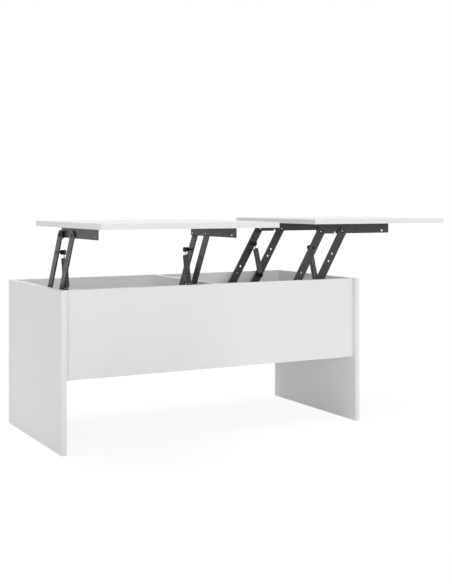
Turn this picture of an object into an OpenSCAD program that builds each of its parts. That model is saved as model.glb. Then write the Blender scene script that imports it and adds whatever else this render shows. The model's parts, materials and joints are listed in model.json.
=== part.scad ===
// Coffee table with two tops that rise separately on sprung parallel-arm lifts.
// The row frame: origin on the floor under the middle of the box, +X to the right,
// +Y to the back, +Z up. Both tops are drawn raised, on their open stops.

/* [Cabinet] */
// Width of the box over its two end panels
body_w = 990; // [960:10:1100]
// Depth of the end panels
body_d = 495; // [480:5:560]
// Height of the box, from the floor to the tops' underside when shut
body_h = 450; // [430:5:520]
// Thickness of every board
board_t = 15; // [15:1:16]
// How far the front panel stands back from the end panels' front edges
front_recess = 20; // [5:1:25]
// How far the back panel stands in from the end panels' back edges
back_recess = 10; // [5:1:20]
// Clear height under the front and back panels
leg_clear = 201; // [150:1:220]
// Height of the bottom board's underside above the front panel's lower edge
shelf_inset = 6; // [2:1:12]

/* [Tops] */
// Width of one top, along X
top_w = 509; // [500:1:560]
// Depth of one top, along Y
top_d = 505; // [490:5:570]
// Gap between the two tops when shut
top_gap = 2; // [1:0.5:4]
// From a top's rear edge to its rear hinge row
rear_setback = 62; // [50:1:70]

/* [Lift arms] */
// Distance between an arm's two pivots
arm_length = 216; // [210:1:220]
// Width of an arm
arm_w = 28; // [26:1:28]
// Thickness of an arm
arm_t = 4.5; // [3:0.5:4.5]
// Distance between the rear and the front pivots
pivot_spacing = 87; // [84:1:90]
// Height of the lower pivots above the floor
pivot_z = 412.5; // [412:0.5:414]
// Angle of an open arm above the forward horizontal
open_angle = 60; // [58:1:62]
// Angle of a shut arm above the forward horizontal
shut_angle = 176.5; // [176:0.5:177]
// Straight length of the rear arm's tail below its pivot
tail_length = 31; // [30:1:32]
// Radius of a pivot rivet's shank
rivet_r = 4; // [3.5:0.5:4]
// Radial running clearance of an arm on its rivet
run_clear = 0.05; // [0.02:0.01:0.08]

/* [Top brackets] */
// Height of a bracket's upright flange
bracket_h = 32; // [30:1:34]
// Width of a bracket's flat flange under the top
bracket_flange = 25; // [22:1:26]
// From the pivot row up to the top's underside
pivot_drop = 24.5; // [24:0.5:25]
// Length of bracket behind the rear pivot
bracket_tail = 12; // [10:1:13]
// Length of bracket ahead of the front pivot
bracket_nose = 184; // [170:1:190]
// Thickness of bracket and base plate steel
plate_t = 2.5; // [2:0.5:2.5]

/* [Springs] */
// Outer diameter of a spring's coil
coil_d = 19; // [17:0.5:19]
// Diameter of the spring wire
wire_d = 2.5; // [2:0.25:2.5]
// From the rear arm's upper pivot to its spring pin
spring_drop = 59; // [56:1:62]
// From the front arm's lower pivot to its spring pin
spring_rise = 30; // [28:1:32]
// From the upper pin to the first turn
upper_hook = 17; // [15:1:18]
// From the lower pin to the last turn
lower_hook = 9; // [9:1:12]

/* [Hidden] */
$fn = 48;
cut = 1; // how far a cutter runs past a face

white = [0.93, 0.93, 0.93];
black_steel = [0.22, 0.22, 0.23];
zinc = [0.72, 0.72, 0.72];
birch = [0.86, 0.75, 0.56];

// Inner faces of the box
x_in = body_w / 2 - board_t;
y_front_in = -body_d / 2 + front_recess + board_t;
y_back_in = body_d / 2 - back_recess - board_t;
panel_h = body_h - leg_clear;
shelf_z = leg_clear + shelf_inset;
shelf_top = shelf_z + board_t;

// Cam fittings and dowels: places measured along the jointed edges
cam_r = 7.5;
cam_depth = 12;
cam_reach = 24; // from the joint face to the cam's axis
bolt_r = 3.5;
bolt_bite = 10; // how deep a bolt screws into the facing board
dowel_r = 4;
dowel_half = 10; // dowel length in the facing board
dowel_tail = 18; // dowel length in the board's own edge
panel_cam_z = [leg_clear + 60, body_h - 45];
panel_dowel_z = leg_clear + 130;
shelf_cam_y = [-130, 140];
shelf_dowel_y = 5;
divider_cam_z = shelf_top + 60;
divider_dowel_z = shelf_top + 160;

// Lift layout, measured inward from the panel face that carries it
base_standoff = 16.7;
run_gap = 0.3;
rear_arm_u = base_standoff + plate_t + run_gap;
front_arm_u = rear_arm_u + arm_t + 0.5;
bracket_u = front_arm_u + arm_t + run_gap;
bracket_in = bracket_u + plate_t;
spring_u = bracket_in + coil_d / 2 + 1.2;
rivet_head_r = 7;
rivet_head_t = 2;
thin_head_t = 0.9;
sink_r = 6; // radius of a countersunk rivet end
sink_t = 1.6; // depth of a countersunk rivet end
rivet_bore_r = rivet_r - 0.8; // hollow in a top rivet's outer end
rivet_bore_t = 4; // depth of that hollow
spacer_r = 8;
washer_r = 11; // spacer rings beside the brackets

// Arm holes, measured from the lower pivot
rear_holes = [41, 67];
front_holes = [106, 133];
arm_hole_r = 3.75;
arm_rise = arm_length * sin(open_angle);
arm_run = arm_length * cos(open_angle);
shut_run = arm_length * cos(shut_angle);

// The stop stud meets the tail when open and the arm's edge when shut
stop_r = 4;
stop_dir = (open_angle + shut_angle) / 2 + 90;
stop_gap = 0.26;
stop_reach = (arm_w / 2 + stop_r + stop_gap) / cos((shut_angle - open_angle) / 2);
stop_at = [stop_reach * cos(stop_dir), stop_reach * sin(stop_dir)];

// Base plate outline, from the rear lower pivot
plate_x0 = -44;
plate_x1 = pivot_spacing + 20;
plate_top = -6;
web_z = -54.5;
foot_z = -100;
lobe_r = 12;
base_screws = [[plate_x0 + 14, -72], [plate_x1 - 14, -72], [plate_x0 + 14, -90], [plate_x1 - 14, -90]];
screw_r = 2;
screw_head_r = 4;
screw_head_t = 2.2;
screw_bite = 11;

// Bracket screws and its spare hole, from the rear upper pivot
bracket_x1 = pivot_spacing + bracket_nose;
bracket_screws = [18, 96, 174, 252];
bracket_screw_u = bracket_u + 17;
spare_hole_x = bracket_x1 - 26;
spare_hole_r = 3.75;
pin_shank_r = 2.25;
notch_r = 2.6;

// Spring pins and the spring between them, open
pin_groove = [spring_u - 2, spring_u + 2.5];
pin_flange_r = 7.5;
pin_core_r = 4;
pin_sleeve_r = 7;
pin_head_r = 4; // riveted outer end of a rear arm's pin
pin_head_t = 0.8;
hook_r = 5.55;
upper_pin = [(arm_length - spring_drop) * cos(open_angle), (arm_length - spring_drop) * sin(open_angle)];
lower_pin = [pivot_spacing + spring_rise * cos(open_angle), spring_rise * sin(open_angle)];
spring_step = upper_pin - lower_pin;
spring_length = norm(spring_step);
spring_dir = atan2(spring_step[1], spring_step[0]);
coil_length = spring_length - upper_hook - lower_hook;
coil_gap = 0.3;

// Places of the tops and of the four lifts
lift_run = arm_run - shut_run;
top_z = pivot_z + arm_rise + pivot_drop;
left_pivot_y = top_d / 2 - rear_setback + shut_run;
right_pivot_x = top_gap / 2 + rear_setback - shut_run;
LIFTS = ["left_outer", "left_inner", "right_front", "right_back"];

// Puts a lift's own frame in place: x forward, y inward from the panel, z up
module on_lift(lift) {
    if (lift == "left_outer")
        translate([-x_in, left_pivot_y, pivot_z]) rotate([0, 0, -90]) children();
    if (lift == "left_inner")
        translate([-board_t / 2, left_pivot_y, pivot_z]) rotate([0, 0, -90]) mirror([0, 1, 0]) children();
    if (lift == "right_front")
        translate([right_pivot_x, y_front_in, pivot_z]) children();
    if (lift == "right_back")
        translate([right_pivot_x, y_back_in, pivot_z]) mirror([0, 1, 0]) children();
}

// Plate of thickness t whose outline lies in the lift's x-z plane, starting at depth u
module upright(u, t) {
    translate([0, u + t, 0]) rotate([90, 0, 0]) linear_extrude(t) children();
}

// Round bar along the lift's y axis, at p, from depth u0 to u1
module bar_in(p, r, u0, u1) {
    translate([p[0], u0, p[1]]) rotate([-90, 0, 0]) cylinder(h = u1 - u0, r = r);
}

// Cone along the lift's y axis, at p, from radius r0 at u0 to r1 at u1
module cone_in(p, r0, r1, u0, u1) {
    translate([p[0], u0, p[1]]) rotate([-90, 0, 0]) cylinder(h = u1 - u0, r1 = r0, r2 = r1);
}

// Screw hole in a carrying panel for one lift's base plate
module base_screw_holes(lift) {
    on_lift(lift)
        for (p = base_screws) bar_in(p, screw_r, -screw_bite, cut);
}

// ---- Cabinet ----

// Cam bolts that stand in an end panel's inner face, on the +X side; mirrored for the other
module end_joint_bolts(r, bite, reach) {
    translate([x_in, 0, 0]) rotate([0, 90, 0]) {
        for (z = panel_cam_z) {
            translate([-z, y_front_in - board_t / 2, -reach]) cylinder(h = reach + bite, r = r);
            translate([-z, y_back_in + board_t / 2, -reach]) cylinder(h = reach + bite, r = r);
        }
        for (y = shelf_cam_y)
            translate([-(shelf_z + board_t / 2), y, -reach]) cylinder(h = reach + bite, r = r);
    }
}

module end_joint_dowels(r, bite, reach) {
    translate([x_in, 0, 0]) rotate([0, 90, 0]) {
        translate([-panel_dowel_z, y_front_in - board_t / 2, -reach]) cylinder(h = reach + bite, r = r);
        translate([-panel_dowel_z, y_back_in + board_t / 2, -reach]) cylinder(h = reach + bite, r = r);
        translate([-(shelf_z + board_t / 2), shelf_dowel_y, -reach]) cylinder(h = reach + bite, r = r);
    }
}

// Cam bolt and dowel at each end of the divider
module divider_joint(z, r, bite, reach) {
    translate([0, y_front_in - bite, z]) rotate([-90, 0, 0]) cylinder(h = reach + bite, r = r);
    translate([0, y_back_in + bite, z]) rotate([90, 0, 0]) cylinder(h = reach + bite, r = r);
}

module both_ends() {
    children();
    mirror([1, 0, 0]) children();
}

module end_panel_blank() {
    difference() {
        translate([x_in, -body_d / 2, 0]) cube([board_t, body_d, body_h]);
        end_joint_bolts(bolt_r, bolt_bite, cut);
        end_joint_dowels(dowel_r, dowel_half, cut);
    }
}

module left_end_panel() {
    color(white) difference() {
        mirror([1, 0, 0]) end_panel_blank();
        base_screw_holes("left_outer");
    }
}

module right_end_panel() {
    color(white) end_panel_blank();
}

// Cam bodies of both ends: in the front and back panels' inner faces and under the bottom board
module end_cams(r, depth) {
    x = x_in - cam_reach;
    for (z = panel_cam_z) {
        translate([x, y_front_in + depth - cam_depth, z]) rotate([90, 0, 0]) cylinder(h = depth, r = r);
        translate([x, y_back_in - depth + cam_depth, z]) rotate([-90, 0, 0]) cylinder(h = depth, r = r);
    }
    for (y = shelf_cam_y)
        translate([x, y, shelf_z - depth + cam_depth]) cylinder(h = depth, r = r);
}

// Cam bodies in the divider's right face
module divider_cams(r, depth) {
    for (y = [y_front_in + cam_reach, y_back_in - cam_reach])
        translate([board_t / 2 - cam_depth, y, divider_cam_z]) rotate([0, 90, 0]) cylinder(h = depth, r = r);
}

module front_panel() {
    color(white) difference() {
        translate([-x_in, y_front_in - board_t, leg_clear]) cube([2 * x_in, board_t, panel_h]);
        both_ends() {
            end_joint_bolts(bolt_r + 0.5, cut, cam_reach);
            end_joint_dowels(dowel_r, cut, dowel_tail);
            end_cams(cam_r, cam_depth + cut);
        }
        divider_joint(divider_cam_z, bolt_r, bolt_bite, cut);
        divider_joint(divider_dowel_z, dowel_r, dowel_half, cut);
        base_screw_holes("right_front");
    }
}

module back_panel() {
    color(white) difference() {
        translate([-x_in, y_back_in, leg_clear]) cube([2 * x_in, board_t, panel_h]);
        both_ends() {
            end_joint_bolts(bolt_r + 0.5, cut, cam_reach);
            end_joint_dowels(dowel_r, cut, dowel_tail);
            end_cams(cam_r, cam_depth + cut);
        }
        divider_joint(divider_cam_z, bolt_r, bolt_bite, cut);
        divider_joint(divider_dowel_z, dowel_r, dowel_half, cut);
        base_screw_holes("right_back");
    }
}

module bottom_board() {
    color(white) difference() {
        translate([-x_in, y_front_in, shelf_z]) cube([2 * x_in, y_back_in - y_front_in, board_t]);
        both_ends() {
            end_joint_bolts(bolt_r + 0.5, cut, cam_reach);
            end_joint_dowels(dowel_r, cut, dowel_tail);
            end_cams(cam_r, cam_depth + cut);
        }
    }
}

module divider() {
    color(white) difference() {
        translate([-board_t / 2, y_front_in, shelf_top])
            cube([board_t, y_back_in - y_front_in, body_h - shelf_top]);
        divider_joint(divider_cam_z, bolt_r + 0.5, cut, cam_reach);
        divider_joint(divider_dowel_z, dowel_r, cut, dowel_tail);
        divider_cams(cam_r, cam_depth + cut);
        base_screw_holes("left_inner");
    }
}

module cam_locks() {
    color(zinc) difference() {
        union() {
            both_ends() end_cams(cam_r, cam_depth);
            divider_cams(cam_r, cam_depth);
        }
        both_ends() end_joint_bolts(bolt_r + 0.5, cut, cam_reach);
        divider_joint(divider_cam_z, bolt_r + 0.5, cut, cam_reach);
    }
}

module cam_bolts() {
    color(zinc) {
        both_ends() end_joint_bolts(bolt_r, bolt_bite, cam_reach - 1);
        divider_joint(divider_cam_z, bolt_r, bolt_bite, cam_reach - 1);
    }
}

module dowels() {
    color(birch) {
        both_ends() end_joint_dowels(dowel_r, dowel_half, dowel_tail);
        divider_joint(divider_dowel_z, dowel_r, dowel_half, dowel_tail);
    }
}

// ---- Tops ----

// A bracket's screws: shank into the top, head under the flange
module bracket_screw_holes(lift) {
    on_upper_pivot(lift)
        for (x = bracket_screws)
            translate([x, bracket_screw_u, pivot_drop - cut]) cylinder(h = screw_bite + cut, r = screw_r);
}

// Moves the lift's frame to its open rear upper pivot
module on_upper_pivot(lift) {
    on_lift(lift) translate([arm_run, 0, arm_rise]) children();
}

module left_top() {
    color(white) difference() {
        translate([-top_gap / 2 - top_w, -top_d / 2 - lift_run, top_z]) cube([top_w, top_d, board_t]);
        bracket_screw_holes("left_outer");
        bracket_screw_holes("left_inner");
    }
}

module right_top() {
    color(white) difference() {
        translate([top_gap / 2 + lift_run, -top_d / 2, top_z]) cube([top_w, top_d, board_t]);
        bracket_screw_holes("right_front");
        bracket_screw_holes("right_back");
    }
}

module bracket_screws_of(lifts) {
    color(zinc) for (lift = lifts) on_upper_pivot(lift)
        for (x = bracket_screws) translate([x, bracket_screw_u, 0]) {
            translate([0, 0, pivot_drop - plate_t - screw_head_t]) cylinder(h = screw_head_t, r = screw_head_r);
            translate([0, 0, pivot_drop - plate_t - cut]) cylinder(h = plate_t + screw_bite, r = screw_r);
        }
}

module top_bracket(lift) {
    color(black_steel) on_upper_pivot(lift) difference() {
        union() {
            upright(bracket_u, plate_t) difference() {
                translate([-bracket_tail, pivot_drop - bracket_h])
                    square([bracket_tail + bracket_x1, bracket_h]);
                circle(r = rivet_r);
                translate([pivot_spacing, 0]) circle(r = rivet_r);
                translate([spare_hole_x, 0]) circle(r = spare_hole_r);
                pin_notch();
            }
            translate([-bracket_tail, bracket_u, pivot_drop - plate_t])
                cube([bracket_tail + bracket_x1, bracket_flange, plate_t]);
        }
        for (x = bracket_screws)
            translate([x, bracket_screw_u, pivot_drop - plate_t - cut]) cylinder(h = plate_t + 2 * cut, r = screw_r);
    }
}

// Slot in the bracket's lower edge that lets the rear arm's spring pin in when shut
module pin_notch() {
    shut = 180 - shut_angle;
    at = [spring_drop * cos(shut), -spring_drop * sin(shut)];
    translate(at) circle(r = notch_r);
    translate([at[0] - notch_r, pivot_drop - bracket_h - cut])
        square([2 * notch_r, at[1] - pivot_drop + bracket_h + cut]);
}

// Rivet of the rear upper pivot: hollow head outside the rear arm, thin head inside the bracket
module rear_upper_rivet() {
    head_u = rear_arm_u - rivet_head_t;
    difference() {
        union() {
            bar_in([0, 0], rivet_head_r, head_u, rear_arm_u - 0.1);
            bar_in([0, 0], rivet_r, rear_arm_u - 0.2, bracket_in + thin_head_t);
            bar_in([0, 0], rivet_head_r - 1, bracket_in, bracket_in + thin_head_t);
        }
        bar_in([0, 0], rivet_bore_r, head_u - cut, head_u + rivet_bore_t);
    }
}

// Rivet of the front upper pivot: its outer end lies flush in the front arm
module front_upper_rivet() {
    p = [pivot_spacing, 0];
    difference() {
        union() {
            bar_in(p, rivet_r, front_arm_u, bracket_in + thin_head_t);
            cone_in(p, sink_r, rivet_r, front_arm_u, front_arm_u + sink_t);
            bar_in(p, rivet_head_r - 1, bracket_in, bracket_in + thin_head_t);
        }
        bar_in(p, rivet_bore_r, front_arm_u - cut, front_arm_u + rivet_bore_t);
    }
}

module top_rivets(lifts) {
    color(black_steel) for (lift = lifts) on_upper_pivot(lift) {
        rear_upper_rivet();
        front_upper_rivet();
    }
}

// Spacer rings that fill the front arm's depth behind the rear arm
module top_spacers(lifts) {
    color(black_steel) for (lift = lifts) on_upper_pivot(lift) difference() {
        bar_in([0, 0], washer_r, rear_arm_u + arm_t + run_gap, bracket_u);
        bar_in([0, 0], rivet_r, rear_arm_u, bracket_u + cut);
    }
}

// ---- Lift arms ----

// Arm outline with its lower pivot at the origin, lying along x
module arm_outline(tail, holes, pin) {
    difference() {
        union() {
            translate([-tail, -arm_w / 2]) square([tail + arm_length, arm_w]);
            translate([-tail, 0]) circle(r = arm_w / 2);
            translate([arm_length, 0]) circle(r = arm_w / 2);
        }
        circle(r = rivet_r + run_clear);
        translate([arm_length, 0]) circle(r = rivet_r + run_clear);
        for (d = holes) translate([d, 0]) circle(r = arm_hole_r);
        translate([pin, 0]) circle(r = pin_shank_r);
    }
}

module rear_arm(lift) {
    face = rear_arm_u + arm_t;
    color(black_steel) on_lift(lift) difference() {
        upright(rear_arm_u, arm_t) rotate(open_angle)
            arm_outline(tail_length, rear_holes, arm_length - spring_drop);
        cone_in([0, 0], rivet_r + run_clear, sink_r + 0.25, face - sink_t - 0.2, face);
    }
}

module front_arm(lift) {
    color(black_steel) on_lift(lift) translate([pivot_spacing, 0, 0]) difference() {
        upright(front_arm_u, arm_t) rotate(open_angle)
            arm_outline(0, front_holes, spring_rise);
        cone_in([arm_run, arm_rise], sink_r + 0.25, rivet_r + run_clear, front_arm_u, front_arm_u + sink_t + 0.2);
    }
}

// ---- Base plates ----

// Z-shaped plate: foot screwed to the panel, ledge, and upright flange with the pivots
module base_plate(lift) {
    color(black_steel) on_lift(lift) difference() {
        union() {
            upright(base_standoff, plate_t) difference() {
                union() {
                    translate([plate_x0, web_z]) square([plate_x1 - plate_x0, plate_top - web_z]);
                    for (x = [0, pivot_spacing]) {
                        translate([x, 0]) circle(r = lobe_r);
                        translate([x - lobe_r, web_z]) square([2 * lobe_r, -web_z]);
                    }
                }
                circle(r = rivet_r);
                translate([pivot_spacing, 0]) circle(r = rivet_r);
                translate(stop_at) circle(r = stop_r - 1);
            }
            translate([plate_x0, 0, web_z]) cube([plate_x1 - plate_x0, base_standoff + plate_t, plate_t]);
            translate([plate_x0, 0, foot_z]) cube([plate_x1 - plate_x0, plate_t, web_z - foot_z + plate_t]);
        }
        for (p = base_screws) bar_in(p, screw_r, -cut, plate_t + cut);
    }
}

module base_plate_screws() {
    color(zinc) for (lift = LIFTS) on_lift(lift) for (p = base_screws) {
        bar_in(p, screw_r, -screw_bite, plate_t + 1);
        bar_in(p, screw_head_r, plate_t, plate_t + screw_head_t);
    }
}

// Rear rivets end flush in the rear arm; front ones pass a spacer and the front arm
module base_pivot_rivets() {
    face = rear_arm_u + arm_t;
    front_face = front_arm_u + arm_t + run_gap;
    color(zinc) for (lift = LIFTS) on_lift(lift) {
        bar_in([0, 0], rivet_head_r, base_standoff - rivet_head_t, base_standoff);
        bar_in([0, 0], rivet_r, base_standoff - 1, face);
        cone_in([0, 0], rivet_r, sink_r, face - sink_t, face);
        bar_in([pivot_spacing, 0], rivet_head_r, base_standoff - rivet_head_t, base_standoff);
        bar_in([pivot_spacing, 0], rivet_r, base_standoff - 1, front_face + 1);
        bar_in([pivot_spacing, 0], rivet_head_r, front_face, front_face + rivet_head_t);
    }
}

module base_pivot_spacers() {
    color(zinc) for (lift = LIFTS) on_lift(lift) difference() {
        bar_in([pivot_spacing, 0], spacer_r, base_standoff + plate_t, front_arm_u - run_gap);
        bar_in([pivot_spacing, 0], rivet_r, base_standoff, front_arm_u);
    }
}

module stop_studs() {
    color(zinc) for (lift = LIFTS) on_lift(lift) {
        bar_in(stop_at, stop_r, base_standoff + plate_t, front_arm_u - 0.6);
        bar_in(stop_at, stop_r - 1, base_standoff, base_standoff + plate_t + 1);
    }
}

// ---- Spring pins and springs ----

// Grooved pin: shank through the arm from depth u, sleeve, groove for the hook, end flange
module spring_pin(p, u, face) {
    bar_in(p, pin_shank_r, u, pin_groove[0]);
    bar_in(p, pin_sleeve_r, max(face, bracket_in + 1.2), pin_groove[0]);
    bar_in(p, pin_core_r, pin_groove[0] - 1, pin_groove[1] + 1);
    bar_in(p, pin_flange_r, pin_groove[1], pin_groove[1] + 2);
}

module upper_pin_of(lift) {
    color(black_steel) on_lift(lift) {
        spring_pin(upper_pin, rear_arm_u, rear_arm_u + arm_t);
        bar_in(upper_pin, pin_head_r, rear_arm_u - pin_head_t, rear_arm_u);
    }
}

module lower_pin_of(lift) {
    color(black_steel) on_lift(lift) spring_pin(lower_pin, front_arm_u, front_arm_u + arm_t);
}

// Places a spring drawn along +x, from the lower pin to the upper one
module on_spring(lift) {
    on_lift(lift) translate([lower_pin[0], spring_u, lower_pin[1]]) rotate([0, -spring_dir, 0]) children();
}

// Half a spring: hook ring round the pin at the origin, shank, end turn and half the coil
module half_spring(hook) {
    wire_r = wire_d / 2;
    rotate([90, 0, 0]) rotate_extrude() translate([hook_r, 0]) circle(r = wire_r);
    translate([hook_r, 0, 0]) rotate([0, 90, 0]) cylinder(h = hook - hook_r + 1, r = wire_r);
    translate([hook, 0, 0]) rotate([0, 90, 0]) cylinder(h = wire_d, r = coil_d / 2);
    translate([hook, 0, 0]) rotate([0, 90, 0]) difference() {
        cylinder(h = (coil_length - coil_gap) / 2, r = coil_d / 2);
        translate([0, 0, wire_d]) cylinder(h = coil_length, r = coil_d / 2 - wire_d);
    }
}

module spring_lower(lift) {
    color(black_steel) on_spring(lift) half_spring(lower_hook);
}

module spring_upper(lift) {
    color(black_steel) on_spring(lift) translate([spring_length, 0, 0]) rotate([0, 0, 180])
        half_spring(upper_hook);
}

left_end_panel();
right_end_panel();
front_panel();
back_panel();
bottom_board();
divider();
cam_locks();
cam_bolts();
dowels();
left_top();
right_top();
base_pivot_rivets();
base_pivot_spacers();
stop_studs();
base_plate_screws();
top_rivets(["left_outer", "left_inner"]);  // left_top_rivets
top_spacers(["left_outer", "left_inner"]);  // left_top_spacers
bracket_screws_of(["left_outer", "left_inner"]);  // left_bracket_screws
top_rivets(["right_front", "right_back"]);  // right_top_rivets
top_spacers(["right_front", "right_back"]);  // right_top_spacers
bracket_screws_of(["right_front", "right_back"]);  // right_bracket_screws
for (lift = LIFTS) {
    base_plate(lift);
    rear_arm(lift);
    front_arm(lift);
    top_bracket(lift);
    upper_pin_of(lift);
    lower_pin_of(lift);
    spring_upper(lift);
    spring_lower(lift);
}
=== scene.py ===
"""Looks of the lift top coffee table: finishes, springs, rivets, screws and cam locks on the CAD frame."""

import json
import math

import bmesh
import bpy
from mathutils import Matrix, Vector


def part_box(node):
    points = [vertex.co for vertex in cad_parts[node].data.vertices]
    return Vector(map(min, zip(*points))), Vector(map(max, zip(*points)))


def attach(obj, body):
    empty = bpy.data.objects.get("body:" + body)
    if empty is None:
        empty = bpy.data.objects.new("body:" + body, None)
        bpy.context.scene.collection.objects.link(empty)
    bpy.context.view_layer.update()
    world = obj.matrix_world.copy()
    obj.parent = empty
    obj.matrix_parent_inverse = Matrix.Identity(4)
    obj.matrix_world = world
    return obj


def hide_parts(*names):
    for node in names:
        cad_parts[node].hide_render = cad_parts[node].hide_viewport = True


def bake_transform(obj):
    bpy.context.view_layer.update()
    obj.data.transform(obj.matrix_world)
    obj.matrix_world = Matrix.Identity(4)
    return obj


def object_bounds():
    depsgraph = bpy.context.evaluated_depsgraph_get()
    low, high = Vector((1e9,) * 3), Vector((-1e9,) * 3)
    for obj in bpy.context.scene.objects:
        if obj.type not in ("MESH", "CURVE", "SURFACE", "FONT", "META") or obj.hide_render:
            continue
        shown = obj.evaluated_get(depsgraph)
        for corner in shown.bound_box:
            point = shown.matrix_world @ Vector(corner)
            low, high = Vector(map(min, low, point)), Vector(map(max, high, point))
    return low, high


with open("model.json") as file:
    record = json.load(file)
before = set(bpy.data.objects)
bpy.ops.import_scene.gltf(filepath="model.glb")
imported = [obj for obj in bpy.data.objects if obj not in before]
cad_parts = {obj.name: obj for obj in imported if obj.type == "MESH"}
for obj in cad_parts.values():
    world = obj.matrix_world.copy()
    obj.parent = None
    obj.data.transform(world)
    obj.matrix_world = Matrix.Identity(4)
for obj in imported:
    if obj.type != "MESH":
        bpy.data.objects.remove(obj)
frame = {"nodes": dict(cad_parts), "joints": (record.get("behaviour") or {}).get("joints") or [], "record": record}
CAD_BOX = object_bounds()
RECORD = frame["record"]
MM = 0.001

# ---- Where things are, from the frame ----

JOINTS = {j["name"]: j for j in frame["joints"]}
LIFTS = {
    # name: (direction away from the board that carries it, which top it lifts)
    "left_outer": (Vector((1, 0, 0)), "left"),
    "left_inner": (Vector((-1, 0, 0)), "left"),
    "right_front": (Vector((0, 1, 0)), "right"),
    "right_back": (Vector((0, -1, 0)), "right"),
}
DRIVERS = {"left": "left_outer", "right": "right_front"}


def joint_at(name):
    """Where a joint's axis passes, in the row frame."""
    return Vector(JOINTS[name]["pos_m"])


def span(node, axis):
    """How far a node reaches along an axis: lowest and highest value."""
    low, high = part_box(node)
    ends = (low.dot(axis), high.dot(axis))
    return min(ends), max(ends)


def rear_pivot(lift):
    """The rear arm's lower pivot."""
    side = LIFTS[lift][1]
    if DRIVERS[side] == lift:
        return joint_at(f"{side}_top_lift")
    return joint_at(f"{lift}_rear_swing")


def front_pivot(lift):
    """The front arm's lower pivot."""
    return joint_at(f"{lift}_front_swing")


def arm_step(side):
    """From an arm's lower pivot to its upper one, at rest."""
    return joint_at(f"{side}_top_level") - joint_at(f"{side}_top_lift")


# ---- Shader helpers ----


def material(name, color, roughness, metallic=0.0, ior=1.5):
    """A new Principled material, its node tree and its shader."""
    mat = bpy.data.materials.new(name)
    mat.use_nodes = True
    tree = mat.node_tree
    shader = tree.nodes["Principled BSDF"]
    shader.inputs["Base Color"].default_value = (*color, 1)
    shader.inputs["Roughness"].default_value = roughness
    shader.inputs["Metallic"].default_value = metallic
    shader.inputs["IOR"].default_value = ior
    return mat, tree, shader


def math_node(tree, operation, first, second=None):
    """A Math node fed by sockets or numbers."""
    node = tree.nodes.new("ShaderNodeMath")
    node.operation = operation
    for i, value in enumerate((first, second)):
        if value is None:
            continue
        if isinstance(value, (int, float)):
            node.inputs[i].default_value = value
        else:
            tree.links.new(value, node.inputs[i])
    return node.outputs[0]


def noise(tree, scale, detail=3.0, stretch=(1, 1, 1), offset=(0, 0, 0)):
    """Noise in row-frame coordinates, with features about 1 / scale metres across."""
    place = tree.nodes.new("ShaderNodeTexCoord")
    mapping = tree.nodes.new("ShaderNodeMapping")
    mapping.inputs["Scale"].default_value = stretch
    mapping.inputs["Location"].default_value = offset
    texture = tree.nodes.new("ShaderNodeTexNoise")
    texture.inputs["Scale"].default_value = scale
    texture.inputs["Detail"].default_value = detail
    tree.links.new(place.outputs["Object"], mapping.inputs["Vector"])
    tree.links.new(mapping.outputs["Vector"], texture.inputs["Vector"])
    return texture.outputs["Fac"]


def ramp(tree, value, low, high, color_low, color_high):
    """Blends two colours as value goes from low to high."""
    node = tree.nodes.new("ShaderNodeValToRGB")
    node.color_ramp.elements[0].position = low
    node.color_ramp.elements[1].position = high
    node.color_ramp.elements[0].color = (*color_low, 1)
    node.color_ramp.elements[1].color = (*color_high, 1)
    tree.links.new(value, node.inputs["Fac"])
    return node.outputs["Color"]


def remap(tree, value, low, high):
    """Turns a 0 to 1 value into low to high."""
    node = tree.nodes.new("ShaderNodeMapRange")
    node.inputs["To Min"].default_value = low
    node.inputs["To Max"].default_value = high
    tree.links.new(value, node.inputs["Value"])
    return node.outputs["Result"]


def mix(tree, factor, first, second):
    """Mixes two colours; each is a socket or a tuple."""
    node = tree.nodes.new("ShaderNodeMix")
    node.data_type = "RGBA"
    colour_a, colour_b, colour_out = node.inputs[6], node.inputs[7], node.outputs[2]
    for socket, value in ((node.inputs["Factor"], factor), (colour_a, first), (colour_b, second)):
        if isinstance(value, tuple):
            socket.default_value = (*value, 1)
        elif isinstance(value, (int, float)):
            socket.default_value = value
        else:
            tree.links.new(value, socket)
    return colour_out


def bump(tree, shader, height, strength, distance):
    """Adds a bump after any bump the shader already has."""
    node = tree.nodes.new("ShaderNodeBump")
    node.inputs["Strength"].default_value = strength
    node.inputs["Distance"].default_value = distance
    tree.links.new(height, node.inputs["Height"])
    if shader.inputs["Normal"].is_linked:
        tree.links.new(shader.inputs["Normal"].links[0].from_socket, node.inputs["Normal"])
    tree.links.new(node.outputs["Normal"], shader.inputs["Normal"])


# ---- Materials ----

WHITE = (0.82, 0.82, 0.815)
WHITE_SHADE = (0.795, 0.795, 0.79)
SEAM = (0.55, 0.55, 0.54)
BAND = 0.9 * MM  # thickness of the edge band
SEAM_WIDTH = 0.18 * MM


def edge_distance(tree, node):
    """Distance to the board's nearest side edge, for its two large faces."""
    low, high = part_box(node)
    size = high - low
    thin = min(range(3), key=lambda i: size[i])
    place = tree.nodes.new("ShaderNodeTexCoord")
    split = tree.nodes.new("ShaderNodeSeparateXYZ")
    tree.links.new(place.outputs["Object"], split.inputs[0])
    nearest = None
    for i in range(3):
        if i == thin:
            continue
        for gap in (
            math_node(tree, "SUBTRACT", split.outputs[i], low[i]),
            math_node(tree, "SUBTRACT", high[i], split.outputs[i]),
        ):
            nearest = gap if nearest is None else math_node(tree, "MINIMUM", nearest, gap)
    return nearest


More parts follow.
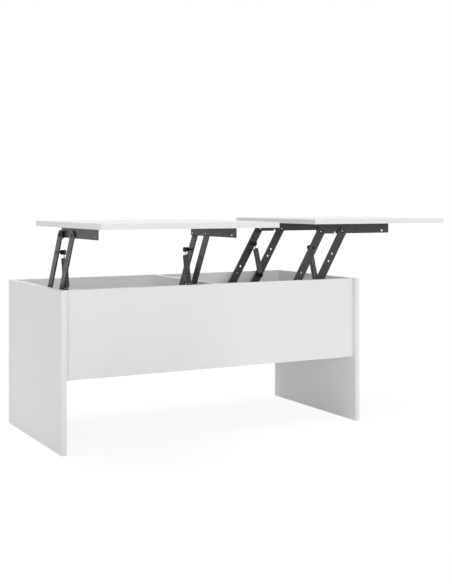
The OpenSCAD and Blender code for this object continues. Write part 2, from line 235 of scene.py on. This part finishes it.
def melamine(node, seed):
    """Satin white melamine with an edge-band seam, faint clouding and handling marks."""
    mat, tree, shader = material(f"melamine_{node}", WHITE, 0.4)
    shift = (seed * 1.7, seed * 0.9, seed * 2.3)
    cloud = noise(tree, 3.5, 4, offset=shift)
    base = ramp(tree, cloud, 0.35, 0.7, WHITE_SHADE, WHITE)
    from_seam = math_node(tree, "SUBTRACT", edge_distance(tree, node), BAND)
    off_seam = math_node(tree, "DIVIDE", math_node(tree, "ABSOLUTE", from_seam), SEAM_WIDTH)
    seam = math_node(tree, "SUBTRACT", 1.0, math_node(tree, "MINIMUM", off_seam, 1.0))
    seam_tint = math_node(tree, "MULTIPLY", seam, 0.6)
    tree.links.new(mix(tree, seam_tint, base, SEAM), shader.inputs["Base Color"])
    marks = noise(tree, 14, 5, offset=shift)
    tree.links.new(remap(tree, marks, 0.34, 0.5), shader.inputs["Roughness"])
    bump(tree, shader, noise(tree, 900, 2, offset=shift), 0.05, 0.1 * MM)
    bump(tree, shader, math_node(tree, "MULTIPLY", seam, -1.0), 0.3, 0.1 * MM)
    return mat


def powder_coat(name, color, seed, ior=1.5):
    """Semi-matt black powder coat: fine orange peel and slight clouding."""
    mat, tree, shader = material(name, color, 0.4, ior=ior)
    shift = (seed, seed * 0.6, seed * 1.9)
    cloud = noise(tree, 40, 4, offset=shift)
    dark = tuple(c * 0.82 for c in color)
    pale = tuple(c * 1.25 for c in color)
    tree.links.new(ramp(tree, cloud, 0.3, 0.75, dark, pale), shader.inputs["Base Color"])
    tree.links.new(remap(tree, noise(tree, 90, 3, offset=shift), 0.33, 0.47), shader.inputs["Roughness"])
    bump(tree, shader, noise(tree, 1100, 2, offset=shift), 0.16, 0.15 * MM)
    return mat


def plated_steel(name, color, roughness):
    """Zinc or bright steel with a fine grain, a cloudy tone and blotchy roughness."""
    mat, tree, shader = material(name, color, roughness, metallic=1.0)
    cloud = noise(tree, 260, 3)
    dull = tuple(c * 0.82 for c in color)
    tree.links.new(ramp(tree, cloud, 0.3, 0.7, dull, color), shader.inputs["Base Color"])
    sheen = remap(tree, noise(tree, 420, 4), roughness * 0.75, roughness * 1.3)
    tree.links.new(sheen, shader.inputs["Roughness"])
    bump(tree, shader, noise(tree, 1600, 2), 0.08, 0.05 * MM)
    return mat


def spring_steel():
    """Dark oiled spring wire with a cloudy tone, an uneven sheen and a fine grain."""
    mat, tree, shader = material("spring_wire", (0.13, 0.13, 0.135), 0.32, metallic=0.8)
    tone = ramp(tree, noise(tree, 120, 3), 0.3, 0.7, (0.10, 0.10, 0.105), (0.17, 0.17, 0.175))
    tree.links.new(tone, shader.inputs["Base Color"])
    tree.links.new(remap(tree, noise(tree, 700, 3), 0.26, 0.4), shader.inputs["Roughness"])
    bump(tree, shader, noise(tree, 2200, 2), 0.1, 0.05 * MM)
    return mat


def beech():
    """Bare beech with its fibres along X."""
    mat, tree, shader = material("beech", (0.62, 0.45, 0.28), 0.6)
    fibre = noise(tree, 400, 4, stretch=(0.08, 1, 1))
    tone = ramp(tree, fibre, 0.3, 0.7, (0.5, 0.34, 0.2), (0.7, 0.53, 0.35))
    tree.links.new(tone, shader.inputs["Base Color"])
    tree.links.new(remap(tree, fibre, 0.5, 0.7), shader.inputs["Roughness"])
    bump(tree, shader, fibre, 0.2, 0.1 * MM)
    return mat


STEEL_BLACK = (0.033, 0.033, 0.034)
COAT = powder_coat("black_powder_coat", STEEL_BLACK, 3.0)
PIN_BLACK = powder_coat("black_oxide", (0.007, 0.007, 0.007), 7.0, ior=1.22)
ZINC = plated_steel("zinc_plate", (0.62, 0.62, 0.60), 0.3)
BRIGHT = plated_steel("bright_rivet", (0.86, 0.86, 0.86), 0.22)
SPRING = spring_steel()
BEECH = beech()


# ---- Finishes and eased edges on the CAD nodes ----

SLOT_MATERIALS = {
    "black_steel": COAT,
    "black_pin": PIN_BLACK,
    "rivet_black": PIN_BLACK,
    "zinc": ZINC,
    "spring_wire": SPRING,
    "beech": BEECH,
}
EDGE_EASE = {"white_board": 0.7 * MM, "black_steel": 0.35 * MM, "black_pin": 0.4 * MM, "zinc": 0.25 * MM}
WELD_GAP = 0.005 * MM
EASE_FROM = math.radians(50)  # edges flatter than this stay as they are
SHARP_FROM = math.radians(42)  # new pieces are shaded smooth across edges flatter than this


def set_material(obj, mat):
    """Gives every slot of an object one material."""
    for place in obj.material_slots:
        place.material = mat


def ease_edges(obj, width):
    """Rounds the sharp edges of a node without touching its mesh."""
    weld = obj.modifiers.new("weld", "WELD")
    weld.merge_threshold = WELD_GAP
    bevel = obj.modifiers.new("ease", "BEVEL")
    bevel.width = width
    bevel.segments = 2
    bevel.limit_method = "ANGLE"
    bevel.angle_limit = EASE_FROM
    bevel.use_clamp_overlap = True
    bevel.harden_normals = False
    smooth = obj.modifiers.new("normals", "WEIGHTED_NORMAL")
    smooth.keep_sharp = False
    smooth.weight = 80


def finish_nodes():
    """Sets the finish of every CAD node from its slot in the record."""
    for i, sub in enumerate(RECORD["subparts"]):
        obj = frame["nodes"][sub["node"]]
        slot = sub["material_slot"]
        mat = melamine(sub["node"], i + 1) if slot == "white_board" else SLOT_MATERIALS[slot]
        set_material(obj, mat)
        if slot in EDGE_EASE:
            ease_edges(obj, EDGE_EASE[slot])


# ---- Mesh helpers ----


def new_piece(name, mesh_maker, materials):
    """An object from a bmesh that mesh_maker fills."""
    bm = bmesh.new()
    mesh_maker(bm)
    mesh = bpy.data.meshes.new(name)
    bm.to_mesh(mesh)
    bm.free()
    for mat in materials:
        mesh.materials.append(mat)
    mesh.polygons.foreach_set("use_smooth", [True] * len(mesh.polygons))
    mesh.set_sharp_from_angle(angle=SHARP_FROM)
    mesh.update()
    obj = bpy.data.objects.new(name, mesh)
    bpy.context.scene.collection.objects.link(obj)
    return obj


def axes_at(point, along):
    """A frame at point whose local Z runs along the given direction."""
    return Matrix.Translation(point) @ Vector((0, 0, 1)).rotation_difference(along).to_matrix().to_4x4()


def lathe(bm, profile, place, steps=40, mat_of=None):
    """Turns a closed profile of (radius, height) points about local Z, and puts it in place."""
    rings = []
    for radius, height in profile:
        if radius < 1e-7:
            rings.append([bm.verts.new(place @ Vector((0, 0, height)))])
            continue
        ring = []
        for k in range(steps):
            a = 2 * math.pi * k / steps
            ring.append(bm.verts.new(place @ Vector((radius * math.cos(a), radius * math.sin(a), height))))
        rings.append(ring)
    for i in range(len(rings) - 1):
        one, two = rings[i], rings[i + 1]
        for k in range(steps):
            n = (k + 1) % steps
            around = [one[k % len(one)], one[n % len(one)], two[n % len(two)], two[k % len(two)]]
            unique = list(dict.fromkeys(around))
            if len(unique) >= 3:
                face = bm.faces.new(unique)
                face.material_index = mat_of(i) if mat_of else 0


def sweep(bm, path, radius, sides=10):
    """A round wire along a path, with closed ends."""
    count = len(path)
    tangents = []
    for i in range(count):
        step = path[min(i + 1, count - 1)] - path[max(i - 1, 0)]
        tangents.append(step.normalized())
    side = tangents[0].orthogonal().normalized()
    rings = []
    for i in range(count):
        if i:
            side = tangents[i - 1].rotation_difference(tangents[i]) @ side
            side = (side - side.dot(tangents[i]) * tangents[i]).normalized()
        other = tangents[i].cross(side)
        ring = []
        for k in range(sides):
            a = 2 * math.pi * k / sides
            ring.append(bm.verts.new(path[i] + radius * (math.cos(a) * side + math.sin(a) * other)))
        rings.append(ring)
    for one, two in zip(rings, rings[1:]):
        for k in range(sides):
            n = (k + 1) % sides
            bm.faces.new((one[k], one[n], two[n], two[k]))
    bm.faces.new(list(reversed(rings[0])))
    bm.faces.new(rings[-1])


# ---- Springs ----

WIRE_R = 1.25 * MM
TURN_PITCH = 2.03 * WIRE_R
TURN_STEPS = 18
RING_R = 5.55 * MM
RING_STEPS = 24
RING_TURN = 340  # degrees of wire round a pin
LOW_HOOK = 9 * MM
HIGH_HOOK = 17 * MM
RAMP_STEPS = 8  # points where the wire leaves the coil for the spring's axis
RAMP_LENGTH = 1.5 * MM


def pin_ring(centre, first_angle):
    """Points of the wire round a pin: along the spring and across it."""
    points = []
    for k in range(RING_STEPS + 1):
        a = math.radians(first_angle + RING_TURN * k / RING_STEPS)
        points.append((centre - RING_R * math.cos(a), RING_R * math.sin(a), 0))
    return points


def coil_ramp(x, first_angle, coil_r, opening):
    """Half a turn between the spring's axis and the coil's radius; opening says which comes first."""
    points = []
    for k in range(1 if opening else 0, RAMP_STEPS + 1):
        t = k / RAMP_STEPS
        a = first_angle + math.pi * t
        share = t if opening else 1 - t
        r = coil_r * share * share * (3 - 2 * share)
        points.append((x + t * RAMP_LENGTH, r * math.cos(a), r * math.sin(a)))
    return points


def spring_path(length, coil_r):
    """The wire from the lower ring to the upper one: along the spring, across it and inward."""
    coil_from = LOW_HOOK + WIRE_R
    coil_length = length - LOW_HOOK - HIGH_HOOK - 2 * WIRE_R
    turns = math.floor(coil_length / TURN_PITCH)
    steps = turns * TURN_STEPS
    path = pin_ring(0, 220)
    path += [(RING_R + 2 * MM, 0.2 * MM, 0), (LOW_HOOK - 4 * MM, 0, 0)]
    path += coil_ramp(coil_from - RAMP_LENGTH, 0, coil_r, True)
    for k in range(1, steps):
        a = math.pi + 2 * math.pi * k / TURN_STEPS
        path.append((coil_from + coil_length * k / steps, coil_r * math.cos(a), coil_r * math.sin(a)))
    path += coil_ramp(coil_from + coil_length, math.pi + 2 * math.pi * turns, coil_r, False)
    path += [(length - RING_R - 5 * MM, 0, 0), (length - RING_R - 2 * MM, 0.2 * MM, 0)]
    return path + pin_ring(length, 0)


def coil_spring(lift):
    """The lift's spring as one wound wire from its lower pin to its upper pin, in place of its two end bodies."""
    inward = LIFTS[lift][0]
    low_node, high_node = f"{lift}_spring_lower", f"{lift}_spring_upper"
    low = joint_at(f"{lift}_spring_turn")
    along = Vector(JOINTS[f"{lift}_spring_stretch"]["axis"]).normalized()
    across = inward.cross(along).normalized()
    # the upper half's far end lies one ring radius and one wire radius past the upper pin
    far = max((Vector(v.co) - low).dot(along) for v in frame["nodes"][high_node].data.vertices)
    length = far - RING_R - WIRE_R
    depth_low, depth_high = span(high_node, inward)
    coil_r = (depth_high - depth_low) / 2 - WIRE_R
    low = low + inward * ((depth_low + depth_high) / 2 - low.dot(inward))
    path = [low + x * along + y * across + z * inward for x, y, z in spring_path(length, coil_r)]

    spring = new_piece(f"{lift}_spring", lambda bm: sweep(bm, path, WIRE_R), [SPRING])
    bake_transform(spring)
    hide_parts(low_node, high_node)


# ---- Rivets ----

SHANK_R = 4 * MM
HEAD_R = 7 * MM
HEAD_T = 2 * MM
THIN_R = 6 * MM
THIN_T = 0.9 * MM
BORE_R = 3.7 * MM
BORE_T = 3.4 * MM
SINK_R = 5.9 * MM
SINK_T = 1.6 * MM
PLATE = 2.5 * MM
ARM_GAP = 0.3 * MM
BLACK_PART, BRIGHT_PART = 0, 1


def hollow_head():
    """Outer end of a rear upper rivet: a rounded black ring round a deep hollow with a bright floor."""
    lip = 0.45 * MM
    return [
        (0, BORE_T),
        (BORE_R, BORE_T),
        (BORE_R, lip),
        (BORE_R + lip, 0),
        (HEAD_R - 1.2 * MM, 0),
        (HEAD_R - 0.35 * MM, 0.35 * MM),
        (HEAD_R, 1.2 * MM),
        (HEAD_R, HEAD_T),
        (SHANK_R, HEAD_T),
    ]


def hollow_flush():
    """Outer end of a front upper rivet: countersunk, level with the arm, with the same hollow."""
    lip = 0.3 * MM
    return [(0, BORE_T), (BORE_R, BORE_T), (BORE_R, lip), (BORE_R + lip, 0), (SINK_R, 0), (SHANK_R, SINK_T)]


def domed_head(radius, thickness):
    """A low domed head at the far end, closed by a small bright core: heights count back from its face."""
    core = 2.5 * MM
    return [
        (SHANK_R, -thickness),
        (radius, -thickness),
        (radius, -thickness * 0.55),
        (radius - 0.4 * MM, -thickness * 0.2),
        (radius - 1.4 * MM, 0),
        (core + 0.3 * MM, 0),
        (core, -0.25 * MM),
        (core * 0.6, -0.05 * MM),
        (0, 0),
    ]


def rivet(bm, axis_point, inward, start, end, near, far):
    """One rivet along inward between two depths. near's heights count from start, far's from end."""
    base = axis_point + inward * (start - axis_point.dot(inward))
    profile = near + [(r, h + end - start) for r, h in far]
    bright = {0} if near[0][0] == 0 else set()
    if far[-1][0] == 0:
        bright |= {len(profile) - 2, len(profile) - 3}
    lathe(bm, profile, axes_at(base, inward), mat_of=lambda i: BRIGHT_PART if i in bright else BLACK_PART)


def top_rivets(side):
    """The four rivets of a top's two brackets, as one piece."""

    def fill(bm):
        for lift, (inward, lifted) in LIFTS.items():
            if lifted != side:
                continue
            far_face = span(f"{lift}_top_bracket", inward)[0] + PLATE + THIN_T
            rear_face = span(f"{lift}_rear_arm", inward)[0] - HEAD_T
            front_face = span(f"{lift}_front_arm", inward)[0]
            step = arm_step(side)
            far = domed_head(THIN_R, THIN_T)
            rivet(bm, rear_pivot(lift) + step, inward, rear_face, far_face, hollow_head(), far)
            rivet(bm, front_pivot(lift) + step, inward, front_face, far_face, hollow_flush(), far)

    piece = new_piece(f"{side}_pivot_rivets", fill, [PIN_BLACK, BRIGHT])
    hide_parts(f"{side}_top_rivets")
    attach(piece, f"{side}_top_assembly")


def dimpled_head():
    """Outer end of a lower rivet: a low head with a shallow dimple."""
    dimple = 1 * MM
    return [
        (0, dimple),
        (BORE_R - 0.7 * MM, dimple),
        (BORE_R, 0),
        (HEAD_R - 1.2 * MM, 0),
        (HEAD_R, 1.1 * MM),
        (HEAD_R, HEAD_T),
        (SHANK_R, HEAD_T),
    ]


def sunk_end():
    """Far end of a rear lower rivet: countersunk, with a bright core. Heights count back from its face."""
    core = 2.5 * MM
    return [
        (SHANK_R, -SINK_T),
        (SINK_R, 0),
        (core + 0.3 * MM, 0),
        (core, -0.25 * MM),
        (core * 0.6, -0.05 * MM),
        (0, 0),
    ]


def base_rivets():
    """The eight lower rivets, headed behind the base plates."""

    def fill(bm):
        for lift, (inward, _) in LIFTS.items():
            rear_start, rear_end = span(f"{lift}_rear_arm", inward)
            start = rear_start - ARM_GAP - PLATE - HEAD_T
            front_end = span(f"{lift}_front_arm", inward)[1] + ARM_GAP + HEAD_T
            rivet(bm, rear_pivot(lift), inward, start, rear_end, dimpled_head(), sunk_end())
            rivet(bm, front_pivot(lift), inward, start, front_end, dimpled_head(), domed_head(HEAD_R, HEAD_T))

    piece = new_piece("lower_pivot_rivets", fill, [PIN_BLACK, BRIGHT])
    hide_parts("base_pivot_rivets")
    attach(piece, "cabinet")


# ---- Screws and cam locks ----


def solids_of(node):
    """The vertices of each separate solid of a node."""
    mesh = frame["nodes"][node].data
    keys = [tuple(round(c / (0.01 * MM)) for c in v.co) for v in mesh.vertices]
    parent = {k: k for k in keys}

    def root(k):
        while parent[k] != k:
            parent[k] = parent[parent[k]]
            k = parent[k]
        return k

    for face in mesh.polygons:
        first = root(keys[face.vertices[0]])
        for v in face.vertices[1:]:
            parent[root(keys[v])] = first
    groups = {}
    for k, v in zip(keys, mesh.vertices):
        groups.setdefault(root(k), []).append(v.co.copy())
    return list(groups.values())


def corners(points):
    """Lowest and highest corner of some points."""
    low = Vector(tuple(min(p[i] for p in points) for i in range(3)))
    high = Vector(tuple(max(p[i] for p in points) for i in range(3)))
    return low, high


def cross_recessed(name, profile, reach, width, depth):
    """A turned shape about Z whose face at z = 0 has a tapered cross recess."""
    body = new_piece(name, lambda bm: lathe(bm, profile, Matrix.Identity(4), steps=36), [])

    def cutter(bm):
        for turn in (0, math.pi / 2):
            made = bmesh.ops.create_cube(bm, size=1)["verts"]
            for v in made:
                at_floor = v.co.z < 0
                taper = 0.55 if at_floor else 1.0
                height = -depth if at_floor else depth * 0.2
                v.co = Vector((v.co.x * 2 * reach * taper, v.co.y * width * taper, height))
                v.co.rotate(Matrix.Rotation(turn, 3, "Z"))

    tool = new_piece(f"{name}_cutter", cutter, [])
    cut = body.modifiers.new("recess", "BOOLEAN")
    cut.object = tool
    cut.use_self = True
    bpy.context.view_layer.update()
    evaluated = body.evaluated_get(bpy.context.evaluated_depsgraph_get())
    mesh = bpy.data.meshes.new_from_object(evaluated)
    for obj in (body, tool):
        bpy.data.objects.remove(obj)
    return mesh


def stamp(bm, mesh, place):
    """Adds a copy of a mesh to a bmesh, in place."""
    before = len(bm.verts)
    bm.from_mesh(mesh)
    bm.verts.ensure_lookup_table()
    for v in bm.verts[before:]:
        v.co = place @ v.co


def screw_mesh():
    """Pan-head chipboard screw: its head's face at z = 0, its point down."""
    head_r, head_t = 4 * MM, 2.2 * MM
    core, crest, pitch = 1.45 * MM, 2 * MM, 1.4 * MM
    length = 13.4 * MM
    profile = [
        (0, 0),
        (head_r * 0.62, -0.1 * MM),
        (head_r * 0.88, -0.5 * MM),
        (head_r, -1.2 * MM),
        (head_r, -head_t),
        (core, -head_t),
    ]
    z = -head_t - 2.4 * MM
    while z > -head_t - length + 3 * MM:
        profile += [(core, z), (crest, z - pitch * 0.3), (core, z - pitch * 0.6)]
        z -= pitch
    profile += [(core, z), (core * 0.5, -head_t - length + 0.8 * MM), (0, -head_t - length)]
    return cross_recessed("screw", profile, 1.9 * MM, 0.75 * MM, 1.4 * MM)


def cam_mesh():
    """Cam lock with a grooved rim and a cross recess: its face at z = 0."""
    radius, height, groove = 7.45 * MM, 12 * MM, 0.3 * MM
    profile = [
        (0, 0),
        (4.9 * MM, 0),
        (5.1 * MM, -groove),
        (5.5 * MM, -groove),
        (5.7 * MM, 0),
        (radius - groove, 0),
        (radius, -groove),
        (radius, -height),
        (0, -height),
    ]
    return cross_recessed("cam", profile, 3.6 * MM, 1.1 * MM, 3 * MM)


def screws(node, body):
    """Detailed screws in place of a node's plain ones."""
    mesh = screw_mesh()

    def fill(bm):
        for points in solids_of(node):
            low, high = corners(points)
            size = high - low
            long = max(range(3), key=lambda i: size[i])
            centre = (low + high) / 2
            wide_low = max((p - centre).length for p in points if p[long] < low[long] + 0.1 * MM)
            wide_high = max((p - centre).length for p in points if p[long] > high[long] - 0.1 * MM)
            out = Vector((0, 0, 0))
            out[long] = 1 if wide_high > wide_low else -1
            face = centre + out * size[long] / 2
            stamp(bm, mesh, axes_at(face, out))

    piece = new_piece(f"{node}_detailed", fill, [ZINC])
    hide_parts(node)
    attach(piece, body)


def cams():
    """Detailed cam locks, each facing out of the board that it sits in."""
    mesh = cam_mesh()
    boards = ["front_panel", "back_panel", "bottom_board", "divider"]

    def fill(bm):
        for points in solids_of("cam_locks"):
            low, high = corners(points)
            size = high - low
            thin = min(range(3), key=lambda i: size[i])
            centre = (low + high) / 2
            for board in boards:
                board_low, board_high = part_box(board)
                if all(board_low[i] - MM < centre[i] < board_high[i] + MM for i in range(3)):
                    to_high = board_high[thin] - high[thin]
                    to_low = low[thin] - board_low[thin]
            out = Vector((0, 0, 0))
            out[thin] = 1 if to_high < to_low else -1
            stamp(bm, mesh, axes_at(centre + out * size[thin] / 2, out))

    piece = new_piece("cam_locks_detailed", fill, [ZINC])
    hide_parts("cam_locks")
    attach(piece, "cabinet")


# ---- Stage: floor, world, lights and camera ----

CAMERA_LENS = 64.04  # millimetres, on a 36 mm sensor
CAMERA_SHIFT = -0.1527
CAMERA_PLACE = (-1.4429, -2.9493, 0.6904)
CAMERA_TURN = math.radians(28.33)  # how far the view turns from straight back towards the right
ROOM_LIGHT = 0.36
KEY_FROM = (0, -0.03, 0.75)
KEY_STRENGTH = 1.75
KEY_SOFTNESS = 50  # degrees across
FILL_FROM = (-0.33, -0.94, 0.11)
FILL_STRENGTH = 1.41
FILL_SOFTNESS = 40
FLOOR_REACH = 30
FLOOR_GAP = 0.2 * MM
FLOOR_BOUNCE = (0.9, 0.9, 0.9)  # what the floor sends back onto the table
FLOOR_SHADOWED = (0.16, 0.16, 0.16)  # the share of the visible floor that shadows can take away
FLOOR_GLOW = 0.875


def seen_directly(tree):
    """1 for what the camera, gloss and glass see, 0 for diffuse light."""
    path = tree.nodes.new("ShaderNodeLightPath")
    mirrored = math_node(tree, "MAXIMUM", path.outputs["Is Glossy Ray"], path.outputs["Is Transmission Ray"])
    return math_node(tree, "MAXIMUM", path.outputs["Is Camera Ray"], mirrored)


def make_world(strength):
    """White behind the object, softer light from all round on it."""
    world = bpy.data.worlds.new("studio")
    bpy.context.scene.world = world
    world.use_nodes = True
    tree = world.node_tree
    tree.nodes.clear()
    seen = tree.nodes.new("ShaderNodeBackground")
    seen.inputs["Color"].default_value = (1, 1, 1, 1)
    seen.inputs["Strength"].default_value = 1.0
    light = tree.nodes.new("ShaderNodeBackground")
    light.inputs["Color"].default_value = (1, 1, 1, 1)
    light.inputs["Strength"].default_value = strength
    blend = tree.nodes.new("ShaderNodeMixShader")
    out = tree.nodes.new("ShaderNodeOutputWorld")
    tree.links.new(seen_directly(tree), blend.inputs[0])
    tree.links.new(light.outputs[0], blend.inputs[1])
    tree.links.new(seen.outputs[0], blend.inputs[2])
    tree.links.new(blend.outputs[0], out.inputs["Surface"])


def make_floor():
    """A wide pale floor that reads as white and keeps a soft shadow of the table."""
    bm = bmesh.new()
    bmesh.ops.create_grid(bm, x_segments=8, y_segments=8, size=FLOOR_REACH)
    mesh = bpy.data.meshes.new("floor")
    bm.to_mesh(mesh)
    bm.free()
    floor = bpy.data.objects.new("floor", mesh)
    floor.location = (0, 0, CAD_BOX[0].z - FLOOR_GAP)
    bpy.context.scene.collection.objects.link(floor)
    mat = bpy.data.materials.new("pale_floor")
    mat.use_nodes = True
    tree = mat.node_tree
    tree.nodes.clear()
    bounce = tree.nodes.new("ShaderNodeBsdfDiffuse")
    bounce.inputs["Color"].default_value = (*FLOOR_BOUNCE, 1)
    faint = tree.nodes.new("ShaderNodeBsdfDiffuse")
    faint.inputs["Color"].default_value = (*FLOOR_SHADOWED, 1)
    glow = tree.nodes.new("ShaderNodeEmission")
    glow.inputs["Color"].default_value = (1, 1, 1, 1)
    glow.inputs["Strength"].default_value = FLOOR_GLOW
    seen = tree.nodes.new("ShaderNodeAddShader")
    tree.links.new(faint.outputs[0], seen.inputs[0])
    tree.links.new(glow.outputs[0], seen.inputs[1])
    blend = tree.nodes.new("ShaderNodeMixShader")
    out = tree.nodes.new("ShaderNodeOutputMaterial")
    tree.links.new(seen_directly(tree), blend.inputs[0])
    tree.links.new(bounce.outputs[0], blend.inputs[1])
    tree.links.new(seen.outputs[0], blend.inputs[2])
    tree.links.new(blend.outputs[0], out.inputs["Surface"])
    mesh.materials.append(mat)


def make_sun(name, toward, strength, softness):
    """A broad soft lamp far away in the given direction."""
    data = bpy.data.lights.new(name, "SUN")
    data.energy = strength
    data.angle = math.radians(softness)
    lamp = bpy.data.objects.new(name, data)
    lamp.rotation_mode = "QUATERNION"
    lamp.rotation_quaternion = Vector(toward).to_track_quat("Z", "Y")
    bpy.context.scene.collection.objects.link(lamp)


def make_camera():
    """Level camera to the left in front, with the view shifted down to frame the table."""
    data = bpy.data.cameras.new("camera")
    data.sensor_width = 36
    data.lens = CAMERA_LENS
    data.shift_y = CAMERA_SHIFT
    data.dof.use_dof = False
    camera = bpy.data.objects.new("camera", data)
    camera.location = CAMERA_PLACE
    camera.rotation_euler = (math.radians(90), 0, -CAMERA_TURN)
    bpy.context.scene.collection.objects.link(camera)
    bpy.context.scene.camera = camera


make_camera()
make_world(ROOM_LIGHT)
make_sun("key", KEY_FROM, KEY_STRENGTH, KEY_SOFTNESS)
make_sun("fill", FILL_FROM, FILL_STRENGTH, FILL_SOFTNESS)
make_floor()
finish_nodes()
for lift_name in LIFTS:
    coil_spring(lift_name)
for top_side in ("left", "right"):
    top_rivets(top_side)
    screws(f"{top_side}_bracket_screws", f"{top_side}_top_assembly")
base_rivets()
screws("base_plate_screws", "cabinet")
cams()

bpy.context.scene.view_settings.view_transform = "Standard"
